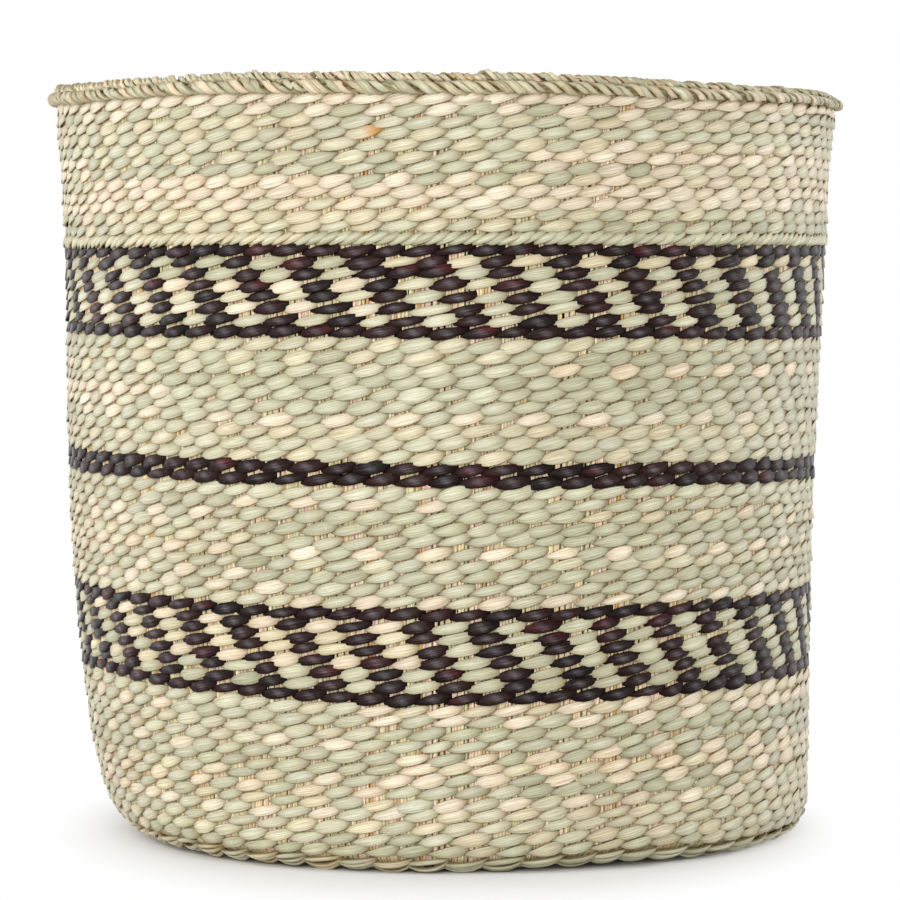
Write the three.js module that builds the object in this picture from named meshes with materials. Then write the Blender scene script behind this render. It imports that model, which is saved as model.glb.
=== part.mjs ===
// A round, open-topped grass basket, twined from rush on fine upright stems.
// The stems (the stakes) fan out from the middle of the base, turn up at the foot and run to the rim.
// Every band of the wall is woven from twined pairs of strands: at each group of stems one strand
// passes in front and one behind, and they cross between the groups. So a band is one ring with a
// row of eyes, and the stake groups are threaded through those eyes. A border of cord locks the ends.
// Millimetres, +Z up. The origin is the middle of the ring that the basket stands on.
import * as THREE from "three";

// Wall and foot
const FOOT_WALL_RADIUS = 162; // outside of the wall where the curve of the foot ends
const MOUTH_WALL_RADIUS = 175.5; // outside of the wall just under the border
const FOOT_TURN_RADIUS = 19; // outside corner between the base and the wall
const FOOT_TREAD_WIDTH = 8; // flat ring under the foot that the basket stands on
const BASE_RISE = 3; // how far the middle of the base is drawn up, clear of the ground
const WALL_HEIGHT = 306.9; // from the top of the curve of the foot to the border, shared by the courses

// Thicknesses through the wall: a strand, the stems, a strand
const STRAND_THICKNESS = 2;
const STAKE_THICKNESS = 1.4;
const CLEARANCE = 0.3; // between neighbouring pieces, on every side

// Stakes
const STAKE_GROUPS = 24; // each gathers about a dozen neighbouring stems
const CROSSING_WIDTH = 4; // solid crossing of the strands between two groups, at the foot
const START_RADIUS = 20; // the stems begin round the knot in the middle of the base

// Border at the rim
const CORD_WIDTH = 4.5; // the cords in front of and behind the ends of the stakes
const CORD_HEIGHT = 4.4;
const TOP_CORD_WIDTH = 6; // the cord that covers the ends
const TOP_CORD_HEIGHT = 4;

// Facets
const FACETS_PER_GROUP = 2; // flats that a ring has for each stake group
const CORD_SIDES = 6;
const FOOT_STEPS = 3; // flats in the curve of the foot

// Colours of the rush
const SAGE = 0xc3c6a2;
const STRAW = 0xd9d2a8;
const DARK_DYED = 0x2a1d22;
const STEM = 0xcbb490;

// The bands of the wall from the foot up, each with its number of courses.
const BANDS = [
  { name: "foot_field", courses: 11, colour: SAGE },
  { name: "lower_dark_band", courses: 8, colour: DARK_DYED },
  { name: "lower_field", courses: 10, colour: SAGE },
  { name: "middle_dark_band", courses: 2, colour: DARK_DYED },
  { name: "middle_field", courses: 10, colour: SAGE },
  { name: "upper_dark_band", courses: 8, colour: DARK_DYED },
  { name: "wale_row", courses: 1, colour: STRAW },
  { name: "upper_field", courses: 12, colour: SAGE },
];

// Depths below the outer face, where each layer of the wall begins and ends.
const stakeFront = STRAND_THICKNESS + CLEARANCE;
const stakeBack = stakeFront + STAKE_THICKNESS;
const floorFront = stakeBack + CLEARANCE;
const wallThickness = floorFront + STRAND_THICKNESS;

const courseCount = BANDS.reduce((sum, band) => sum + band.courses, 0);
const courseHeight = WALL_HEIGHT / courseCount;
const wallTop = FOOT_TURN_RADIUS + WALL_HEIGHT;
const baseRadius = FOOT_WALL_RADIUS - FOOT_TURN_RADIUS; // where the flat of the base meets the foot
const lean = (MOUTH_WALL_RADIUS - FOOT_WALL_RADIUS) / WALL_HEIGHT;

const groups = Math.round(STAKE_GROUPS);
const groupAngle = (2 * Math.PI) / groups;
const facets = groups * Math.round(FACETS_PER_GROUP);
const facetAngle = (2 * Math.PI) / facets;
const crossingAngle = CROSSING_WIDTH / FOOT_WALL_RADIUS;

const basket = new THREE.Group();

function addPiece(name, geometry, colour) {
  const material = new THREE.MeshStandardMaterial({ color: colour, roughness: 0.7, metalness: 0 });
  const piece = new THREE.Mesh(geometry, material);
  piece.name = name;
  basket.add(piece);
}

// Outside radius of the wall at a height.
function wallRadius(z) {
  return FOOT_WALL_RADIUS + lean * (z - FOOT_TURN_RADIUS);
}

// How much nearer the axis a faceted ring is at an angle than at its corners.
function facetShare(angle) {
  const fromCorner = ((angle % facetAngle) + facetAngle) % facetAngle;
  return Math.cos(facetAngle / 2) / Math.cos(fromCorner - facetAngle / 2);
}

// Point in plan on the faceted ring of a radius. Angles start at the front of the basket.
function planPoint(radius, angle) {
  const reach = radius * facetShare(angle);
  return new THREE.Vector2(reach * Math.sin(angle), -reach * Math.cos(angle));
}

function ringOutline(radius) {
  return Array.from({ length: facets }, (_, i) => planPoint(radius, i * facetAngle));
}

// Angles across one stake group: its two edges, each moved out by a margin, and the corners between.
function groupAngles(group, margin) {
  const from = group * groupAngle + crossingAngle / 2 - margin;
  const to = (group + 1) * groupAngle - crossingAngle / 2 + margin;
  const corners = [];
  for (let i = 0; i <= facets; i += 1) {
    const corner = i * facetAngle;
    if (corner > from && corner < to) {
      corners.push(corner);
    }
  }
  return [from, ...corners, to];
}

// Closed outline of the eye that one stake group passes through, at a wall radius.
function eyeOutline(group, radius) {
  const margin = CLEARANCE / FOOT_WALL_RADIUS;
  const angles = groupAngles(group, margin);
  const front = angles.map((angle) => planPoint(radius - STRAND_THICKNESS, angle));
  const back = angles.map((angle) => planPoint(radius - floorFront, angle));
  return [...front, ...back.reverse()];
}

// A ring of twined courses between two heights, with an eye for every stake group.
function twinedBand(bottom, top) {
  const radius = wallRadius(bottom);
  const plan = new THREE.Shape(ringOutline(radius));
  plan.holes.push(new THREE.Path(ringOutline(radius - wallThickness)));
  for (let group = 0; group < groups; group += 1) {
    plan.holes.push(new THREE.Path(eyeOutline(group, radius)));
  }
  const ring = new THREE.ExtrudeGeometry(plan, { depth: top - bottom, bevelEnabled: false, steps: 1 });
  leanOutwards(ring);
  return ring.translate(0, 0, bottom);
}

// Moves each point of an upright ring out as it rises, so that the ring flares with the wall.
function leanOutwards(ring) {
  const points = ring.getAttribute("position");
  for (let i = 0; i < points.count; i += 1) {
    const x = points.getX(i);
    const y = points.getY(i);
    const angle = Math.atan2(x, -y);
    const reach = Math.hypot(x, y);
    const wider = (reach + lean * points.getZ(i) * facetShare(angle)) / reach;
    points.setXY(i, x * wider, y * wider);
  }
}

// A ring or disc turned from a closed profile of [radius, height] pairs.
function turned(profile) {
  const points = profile.map(([radius, height]) => new THREE.Vector2(radius, height));
  return new THREE.LatheGeometry(points, facets).rotateX(Math.PI / 2);
}

// Height of the base at a radius, at a depth inside its underside.
function baseHeight(radius, depth) {
  return BASE_RISE * (1 - radius / baseRadius) + depth;
}

// The curve of the foot at a depth inside its outer face, from the base up to the wall.
function footCurve(depth, top) {
  const radius = FOOT_TURN_RADIUS - depth;
  const curve = [];
  for (let i = 0; i <= FOOT_STEPS; i += 1) {
    const turn = (i / FOOT_STEPS) * (Math.PI / 2);
    const height = FOOT_TURN_RADIUS - radius * Math.cos(turn);
    curve.push([baseRadius + radius * Math.sin(turn), Math.min(height, top)]);
  }
  return curve;
}

// The heavy courses that turn the corner. Their underside is pressed flat, and the basket stands on it.
function footWale() {
  const top = FOOT_TURN_RADIUS - CLEARANCE / 2;
  const treadInside = baseRadius - FOOT_TREAD_WIDTH / 2;
  const treadOutside = baseRadius + FOOT_TREAD_WIDTH / 2;
  const outside = footCurve(0, top).filter(([radius]) => radius > treadOutside);
  const inside = footCurve(STRAND_THICKNESS, top);
  return turned([
    [treadInside, 0],
    [treadOutside, 0],
    ...outside,
    ...inside.reverse(),
    [treadInside, baseHeight(treadInside, STRAND_THICKNESS)],
    [treadInside, 0],
  ]);
}

// The courses under the stems of the base, inside the foot.
function baseUnderside() {
  const edge = baseRadius - FOOT_TREAD_WIDTH / 2 - CLEARANCE;
  return turned([
    [0, baseHeight(0, 0)],
    [edge, baseHeight(edge, 0)],
    [edge, baseHeight(edge, STRAND_THICKNESS)],
    [0, baseHeight(0, STRAND_THICKNESS)],
  ]);
}

// The courses over the stems of the base, which carry on up the inside of the foot.
function baseFloor() {
  const top = FOOT_TURN_RADIUS - CLEARANCE / 2;
  const under = footCurve(floorFront, top);
  const over = footCurve(wallThickness, top);
  return turned([
    [0, baseHeight(0, floorFront)],
    ...under,
    ...over.reverse(),
    [0, baseHeight(0, wallThickness)],
  ]);
}

// The knot of crossed stems in the middle of the base.
function baseStart() {
  const edge = START_RADIUS - CLEARANCE;
  return turned([
    [0, baseHeight(0, stakeFront)],
    [edge, baseHeight(edge, stakeFront)],
    [edge, baseHeight(edge, stakeBack)],
    [0, baseHeight(0, stakeBack)],
  ]);
}

// One group of stems side by side: a strip from the knot, round the foot and up to the border.
function stakeGroup(group, top) {
  const side = (depth) => [
    [START_RADIUS, baseHeight(START_RADIUS, depth)],
    ...footCurve(depth, FOOT_TURN_RADIUS),
    [wallRadius(top) - depth, top],
  ];
  const front = side(stakeFront);
  const back = side(stakeBack);
  const angles = groupAngles(group, 0);
  const section = (step) => [
    ...angles.map((angle) => spacePoint(front[step], angle)),
    ...angles.map((angle) => spacePoint(back[step], angle)).reverse(),
  ];
  return lofted(front.map((_, step) => section(step)));
}

function spacePoint([radius, height], angle) {
  const plan = planPoint(radius, angle);
  return new THREE.Vector3(plan.x, plan.y, height);
}

// A closed solid through sections that have the same number of points, with a strip of quads for each
// end. A section lists its points along the front and then back along the other side.
function lofted(sections) {
  const size = sections[0].length;
  const corners = [];
  const quad = (a, b, c, d) => corners.push(a, b, c, a, c, d);
  for (let step = 1; step < sections.length; step += 1) {
    const low = sections[step - 1];
    const high = sections[step];
    for (let i = 0; i < size; i += 1) {
      const next = (i + 1) % size;
      quad(low[i], low[next], high[next], high[i]);
    }
  }
  const first = sections[0];
  const last = sections[sections.length - 1];
  for (let i = 0; i + 1 < size / 2; i += 1) {
    quad(first[i], first[size - 1 - i], first[size - 2 - i], first[i + 1]);
    quad(last[i], last[i + 1], last[size - 2 - i], last[size - 1 - i]);
  }
  return new THREE.BufferGeometry().setFromPoints(corners);
}

// A ring of cord with a flattened round section.
function cordRing(innerRadius, bottom, width, height) {
  const section = [];
  for (let i = 0; i <= CORD_SIDES; i += 1) {
    const turn = ((i % CORD_SIDES) / CORD_SIDES) * 2 * Math.PI;
    const flatTop = Math.sin(turn) / Math.sin(Math.PI / 3);
    section.push([
      innerRadius + (width / 2) * (1 + Math.cos(turn)),
      bottom + (height / 2) * (1 + flatTop),
    ]);
  }
  return turned(section);
}

// Base and foot
addPiece("base_start", baseStart(), STEM);
addPiece("base_underside", baseUnderside(), SAGE);
addPiece("base_floor", baseFloor(), SAGE);
addPiece("foot_wale", footWale(), STRAW);

// Wall
let bandBottom = FOOT_TURN_RADIUS;
for (const band of BANDS) {
  const bandTop = bandBottom + band.courses * courseHeight;
  const ring = twinedBand(bandBottom + CLEARANCE / 2, bandTop - CLEARANCE / 2);
  addPiece(band.name, ring, band.colour);
  bandBottom = bandTop;
}

// Stakes
const cordBottom = wallTop + CLEARANCE / 2;
const cordTop = cordBottom + CORD_HEIGHT;
for (let group = 0; group < groups; group += 1) {
  const name = "stake_group_" + String(group + 1).padStart(2, "0");
  addPiece(name, stakeGroup(group, cordTop), STEM);
}

// Border. The side cords clear the stakes at their widest place, half-way up the cords.
const middleRadius = wallRadius((cordBottom + cordTop) / 2);
const outerCord = middleRadius - stakeFront + CLEARANCE;
const innerCord = middleRadius - stakeBack - CLEARANCE - CORD_WIDTH;
const topCord = wallRadius(cordTop) - (stakeFront + stakeBack) / 2 - TOP_CORD_WIDTH / 2;
addPiece("border_outer_cord", cordRing(outerCord, cordBottom, CORD_WIDTH, CORD_HEIGHT), STRAW);
addPiece("border_inner_cord", cordRing(innerCord, cordBottom, CORD_WIDTH, CORD_HEIGHT), STRAW);
addPiece("border_top_cord", cordRing(topCord, cordTop + CLEARANCE, TOP_CORD_WIDTH, TOP_CORD_HEIGHT), STRAW);

export default basket;
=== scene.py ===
"""The looks of a round grass basket, twined from rush on fine upright stems.

Every strand is modelled: the pairs that twine round the wall and the base, the stems that they enclose,
and the twisted cords of the border. Lengths are millimetres until a mesh is made. Angles start at the
front of the basket (-Y) and grow towards +X, the viewer's right.
"""
import math
from collections import namedtuple

import bpy
import numpy as np
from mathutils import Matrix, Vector


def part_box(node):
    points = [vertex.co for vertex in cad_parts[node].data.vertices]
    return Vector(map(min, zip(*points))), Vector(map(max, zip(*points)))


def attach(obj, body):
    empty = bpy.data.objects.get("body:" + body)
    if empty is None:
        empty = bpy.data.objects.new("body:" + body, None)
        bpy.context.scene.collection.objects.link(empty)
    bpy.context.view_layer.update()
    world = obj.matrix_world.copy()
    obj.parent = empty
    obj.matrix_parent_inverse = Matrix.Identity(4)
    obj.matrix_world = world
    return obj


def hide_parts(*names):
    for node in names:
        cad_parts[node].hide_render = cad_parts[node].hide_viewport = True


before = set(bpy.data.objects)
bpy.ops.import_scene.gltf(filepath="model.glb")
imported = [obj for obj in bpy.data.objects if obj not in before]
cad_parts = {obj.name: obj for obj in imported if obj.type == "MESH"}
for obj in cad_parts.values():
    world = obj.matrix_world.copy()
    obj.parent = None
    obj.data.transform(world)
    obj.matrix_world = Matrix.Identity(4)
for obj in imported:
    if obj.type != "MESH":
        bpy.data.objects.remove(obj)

MM = 0.001
QUARTER = math.pi / 2
FULL = 2 * math.pi
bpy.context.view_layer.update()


def box_mm(node):
    low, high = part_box(node)
    return np.array(low) / MM, np.array(high) / MM


# Sizes of the wall, from the frame
STEM_DEPTH = 3.0  # from the outer face of the wall to the middle of its stems
STEM_THICKNESS = 1.4
foot_top = (box_mm("foot_wale")[1][2] + box_mm("foot_field")[0][2]) / 2
wall_top = (box_mm("upper_field")[1][2] + box_mm("border_outer_cord")[0][2]) / 2
foot_radius = box_mm("foot_wale")[1][0]
mouth_radius = box_mm("upper_field")[1][0]
base_radius = foot_radius - foot_top
base_rise = box_mm("base_start")[1][2] - STEM_THICKNESS / 2 - STEM_DEPTH
stem_turn = foot_top - STEM_DEPTH  # radius of the stems' bend round the foot
lean = math.atan2(mouth_radius - foot_radius, wall_top - foot_top)
wall_length = (wall_top - foot_top) / math.cos(lean)

# The weaving draft, from the foot up. One letter is one course: N a natural pair, D a dark pair,
# M one dark and one natural strand, W a three-strand wale. Blush is the share of pale pink strands.
# Width is that of the strands, and stitches how many there are in one course. A band with checks says at
# which angle a dark stitch of its top checks begins.
Band = namedtuple("Band", "draft blush width stitches check_start")
BANDS = {
    "foot_field": Band("N" * 11, 0.30, 5.1, 72, None),
    "lower_dark_band": Band("DMMMMMMD", 0.22, 5.0, 76, -7.0),
    "lower_field": Band("N" * 10, 0.24, 5.2, 76, None),
    "middle_dark_band": Band("DD", 0.0, 5.2, 76, None),
    "middle_field": Band("N" * 10, 0.14, 5.6, 76, None),
    "upper_dark_band": Band("DMMMMMMD", 0.12, 5.1, 76, -14.3),
    "wale_row": Band("W", 0.0, 3.5, 210, None),
    "upper_field": Band("N" * 12, 0.32, 5.6, 80, None),
}
BLUSH_RANGE = (0.1, 1.9)  # some courses of a band have more blush and some less
COURSE_SHIFT = 0.26  # each course starts this share of a stitch further to the right than the one above
Stain = namedtuple("Stain", "band course angle")
STAIN = Stain("upper_field", 8, -10.0)  # a stitch with an amber end

# The foot and the base
FOOT_COURSES = 2  # natural courses on the curve of the foot, above its wale
FOOT_COURSE = 5.2
FOOT_WALE_STITCHES = 64
FOOT_WALE_PLACE = -15.0  # middle of the foot wale, round the curve of the foot
BASE_EDGE = 7.4  # from the middle of the foot wale to the first course of the base
BASE_COURSE = 4.95
BASE_START = 17.0  # radius of the last course, round the knot
BASE_STITCH = 14.5  # length of a stitch of the base
BASE_BLUSH = 0.18
FEWEST_PAIRS = 4  # of stitches, in the shortest course of the base

# Shape of a strand: widths at its middle and where it comes out (low) and goes in again (high), its
# thickness, how far its face is crowned, how far it bows out over the stems, how far it climbs along one
# stitch and how slack it lies. Plies are strands that run side by side, by their places across the course.
# The stitches of a plain field are more like a leaf than those of the checks and the base.
Twine = namedtuple("Twine", "strands width low_end high_end thickness crown lift climb slack plies")
CHECK_TWINE = Twine(2, 5.4, 1.2, 2.9, 0.8, 0.05, 1.8, 1.5, 0.22, (0.0,))
FIELD_TWINE = CHECK_TWINE._replace(low_end=1.0, high_end=2.1, climb=1.7)
WALE_TWINE = Twine(3, 3.5, 1.6, 2.4, 1.2, 0.4, 2.1, 2.4, 0.3, (0.0,))
FOOT_TWINE = Twine(2, 2.3, 1.4, 1.8, 1.7, 0.2, 3.0, 1.7, 1.1, (-3.0, 0.0, 2.9))
OVER_STEPS = 8  # of a strand in front of the stems
UNDER_STEPS = 3  # and behind them
OVERLAP = 0.09  # a stitch runs on past each crossing by this share of its length
FACE_UP = math.radians(8)  # the lower edge of a stitch stands out, over the upper edge of the one below
CROSSING_OUT = 0.7  # the strands cross this far out, so that no stem covers their ends
PLY_GATHER = 0.3  # plies are this share as far apart at a crossing as at the middle of a stitch
LOW_TAPER = 2.2  # how full the outlines of the two halves of a stitch are, as powers
HIGH_TAPER = 2.9
LOW_BOW = 2.2  # how full they bow out, as powers
HIGH_BOW = 2.8

# The section of a flat strand, from its upper edge over its face to its lower edge and back, in shares of
# half its width and half its thickness
RIBBON = (
    np.array([1.0, 0.97, 0.88, 0.0, -0.88, -0.97, -1.0, -0.6, 0.6]),
    np.array([-0.2, 0.7, 0.98, 1.0, 0.98, 0.7, -0.2, -1.0, -1.0]),
)

# Unevenness of the hand-woven stitches
CROSSING_JITTER = 0.055
START_JITTER = 0.03
WIDTH_JITTER = 0.09
LIFT_JITTER = 0.12
TILT_JITTER = math.radians(4)
TWIST_JITTER = math.radians(9)
SKEW_JITTER = 0.28
WAVES = np.arange(3, 10)  # the slow waves in a course, by how many there are in one round
WANDER = 0.14  # height of each of them

# Stems. Each begins in the base, and more of them join as the base grows.
STEMS = 760
STEM_SIDES = 6
STEM_TURNS = FULL * np.arange(STEM_SIDES) / STEM_SIDES
STEM_BEGINS = (20, 125, 85, 125, 50, 125, 85, 125, 105, 125)  # radii
STEM_BEGIN_JITTER = 4
STEM_RADII = (0.64, 0.84)
STEM_OUT = (0.1, 0.5)  # how far a stem lies out from the middle of its layer
STEM_TOP = 3.5  # how far it reaches up into the border
STEM_SPACING_JITTER = 0.18
STEM_WANDER = 0.1
BEND_MARGIN = 8  # the straight run across the base ends this far from the bend round the foot
BASE_RINGS = 4
FOOT_RINGS = 5
WALL_RINGS = 13
TIGHTEST_RADIUS = 20  # nearer the axis than this a stem no longer fans out

# The knot of the base
KNOT_BUNDLES = 4
KNOT_STEMS = 7
KNOT_PITCH = 1.7
KNOT_LAYER = 1.2  # the bundles pass over each other at this distance
KNOT_HEADING = 0.2
KNOT_RADII = (0.6, 0.8)
KNOT_JITTER = (0.1, 0.06)  # sideways and up
KNOT_RINGS = 9

# Border cords, twisted from plies that stand out from the plain cord of the frame by the swell, across and
# up, or lie further in where it is below zero. A cord sinks by its bed. Loose is how unevenly a ply lies.
Cord = namedtuple("Cord", "node width plies turns ply swell bed loose seed")
BORDER_CORDS = (
    Cord("border_outer_cord", 4.5, 3, 68, 1.8, (0.2, 0.3), 0.4, 0.09, 44),
    Cord("border_inner_cord", 4.5, 3, 68, 1.8, (0.2, 0.3), 0.4, 0.09, 45),
    Cord("border_top_cord", 6.0, 5, 88, 1.25, (-0.3, 0.2), 1.3, 0.2, 46),
)
CORD_STEPS = 16
CORD_BLUSH = 0.15
PLY_FLATNESS = 1.6  # a ply is this much wider than it is thick
PLY_LENGTH = 1.6  # and this much longer than its cord
TWIST_WOBBLE = 0.55
THICKNESS_WOBBLE = 0.2
RISE_WOBBLE = 0.3
WOBBLE_BLEND = 5  # steps over which one turn's wobble goes over into the next one's

# Ends of stems, bent over and cut, that stick out between the cords
STEM_ENDS = 200
END_RADII = (0.6, 0.95)
END_LENGTHS = (2.5, 5)
END_HEADINGS = (-0.8, -0.1)  # they point down to the right
END_RISES = (0.6, 2.2)
END_OUT = (-1.5, 1.8)
END_FLARE = 0.15
END_RINGS = 4

# The hand-made form: at some heights of the wall, how far the courses ride up and how far the wall stands
# out at the left, at the front and back, and at the right. The foot is tucked in at its left.
Level = namedtuple("Level", "height rise reach")
LEVELS = (
    Level(0, (2.0, 0.0, 0.0), (-11.0, 8.0, 4.0)),
    Level(9, (0.8, -1.2, -1.0), (-8.5, 5.5, 3.4)),
    Level(20, (0.6, -2.2, -2.0), (-5.5, 2.5, 2.7)),
    Level(40, (1.8, -2.0, -2.0), (-0.8, 0.8, 2.4)),
    Level(76, (4.2, -1.7, 2.4), (2.6, 0.0, 0.9)),
    Level(110, (2.2, -0.8, 0.6), (3.7, 0.0, 0.2)),
    Level(167, (2.4, 1.2, -2.0), (3.8, 0.0, -0.9)),
    Level(224, (3.6, 4.0, 1.6), (2.7, 0.0, -1.4)),
    Level(259, (2.1, 3.9, 3.8), (1.0, 0.0, -0.8)),
    Level(293, (1.4, 3.2, 3.0), (0.3, 0.0, -0.2)),
    Level(324, (2.2, 1.8, 1.2), (1.0, 0.0, 1.0)),
    Level(336, (2.2, 1.8, -2.4), (1.0, 0.0, 0.6)),
)
FLOOR_GAP = 0.1  # what would sink lower is pressed flat here, just off the floor

# Dents of the wall, deeper towards the rim: depth, how many in one round, and how they slant up the wall.
# Waves of the rim: share of the height, how many in one round, and where they start.
DENTS = ((0.5, 3, 9), (0.4, 5, -14))
RIM_WAVES = ((1.0, 2, 1.9), (0.6, 7, 0))
RIM_WAVE = 0.7
RIM_POWER = 4  # the waves die out quickly below the rim
RIM_SHARE = 1.05  # the border is a little higher than the wall

# Places where the foot is off the floor or the rim stands up: angle and spread in degrees, how far it is
# lifted, and the heights where it is lifted in full and not at all.
Lift = namedtuple("Lift", "angle spread rise full none")
LIFTS = (Lift(26, 16, 1.6, 4, 50), Lift(-22, 16, 1.4, 335, 290))

# Maps of the meshes. Each strand takes its fibres from a stretch of its own, somewhere in the spread. In
# the map with a cell for each stitch, an open tube leaves room at the end of its cell for its two caps.
MAP_SPREAD = 900
CELL_GAP = 0.06
TUBE_SHARE = 0.95
CAP_PLACES = (0.96, 0.985)
CAP_HALF = (0.006, 0.4)
WALL_COLUMNS = 44  # cells in one row of a map
FOOT_COLUMNS = 24
CORD_COLUMNS = 16
STEM_COLUMNS = 1

# Every run draws the same basket. The bands count on from the first of these seeds.
BAND_SEED = 10
FOOT_COURSE_SEED = 30
FOOT_WALE_SEED = 40
BASE_SEED = 41
KNOT_SEED = 42
STEM_SEED = 43
STEM_END_SEED = 47


def linear(colour):
    """Linear colour of an sRGB hex value."""
    parts = [int(colour[i:i + 2], 16) / 255 for i in (1, 3, 5)]
    return np.array([c / 12.92 if c <= 0.04045 else ((c + 0.055) / 1.055) ** 2.4 for c in parts])


SAGE = linear("#C7C8B1")
DEEP_SAGE = linear("#B3B498")
STRAW = linear("#D7CEB0")
BLUSH = linear("#E4D4BC")
CREAM = linear("#E5DDCB")
TIP_TAN = linear("#8C6C34")
AMBER = linear("#C48A1E")
DYED_BLACK = linear("#140603")
DYED_BROWN = linear("#2A110F")
WINE = linear("#8A2433")
STEM_COLOURS = [linear(c) for c in ("#E0CBA6", "#EBD0C0", "#E4DAB6", "#D2CFA6", "#D4A257", "#C2A67C")]
STEM_SHARES = (0.30, 0.22, 0.25, 0.15, 0.02, 0.06)
STEM_SHADES = 0.1  # how much stems differ in brightness
STEM_RING_SHADES = 0.05  # and the places along one stem
STEM_END_SHADE = (0.72, 0.60, 0.52)  # the cut ends are browned


def bell(value, middle, spread):
    """1 at the middle, less and less towards both sides."""
    return np.exp(-((value - middle) / spread) ** 2)


def ramp(value, start, length):
    """0 before the start and 1 from a length further on. A length below zero runs the other way."""
    return np.clip((value - start) / length, 0, 1)


# The form of the basket


def wall_line(along):
    """Radius, height and outward normal of the layer of stems, at a distance up from the foot's curve.

    Below zero the line goes round the foot and then in across the base.
    """
    turn = np.clip(along / stem_turn, -QUARTER, 0)
    up = np.clip(along, 0, None)
    inward = np.clip(-along - stem_turn * QUARTER, 0, None)
    radius = base_radius + stem_turn * np.cos(turn) + up * math.sin(lean) - inward
    height = foot_top + stem_turn * np.sin(turn) + up * math.cos(lean) + inward * base_rise / base_radius
    return radius, height, np.cos(turn), np.sin(turn)


def departure(kind, height, angle):
    """How far the hand-made form departs from a true round, from the three values of each of LEVELS."""
    side = np.sin(angle)
    weights = (np.clip(-side, 0, 1) ** 2, np.cos(angle) ** 2, np.clip(side, 0, 1) ** 2)
    heights = [level.height for level in LEVELS]
    total = 0
    for i, weight in enumerate(weights):
        total = total + weight * np.interp(height, heights, [getattr(level, kind)[i] for level in LEVELS])
    return total


def hand_shaped(reach, height, angle):
    """Places at a radius, height and angle, moved as the hand-made basket departs from a true round."""
    share = np.clip(height / wall_top, 0, RIM_SHARE)
    dents = sum(depth * np.sin(count * angle + slant * share) for depth, count, slant in DENTS)
    wave = sum(part * np.sin(count * angle + start) for part, count, start in RIM_WAVES)
    rise = departure("rise", height, angle) * np.clip(reach / foot_radius, 0, 1) ** 2
    out = departure("reach", height, angle) - dents * share
    for lift in LIFTS:
        apart = (np.degrees(angle) - lift.angle + 180) % 360 - 180
        whole = ramp(height, lift.none, lift.full - lift.none)
        rise = rise + lift.rise * bell(apart, 0, lift.spread) * whole
    height = np.maximum(height + rise + RIM_WAVE * wave * share ** RIM_POWER, FLOOR_GAP)
    reach = reach * (1 + out / foot_radius)
    return np.stack([reach * np.sin(angle), -reach * np.cos(angle), height], axis=-1)


def in_space(along, out, angle):
    """Places at a distance up the wall, a distance out from the layer of stems and an angle."""
    radius, height, normal_out, normal_up = wall_line(along)
    return hand_shaped(radius + out * normal_out, height + out * normal_up, angle)


# Meshes


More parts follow.
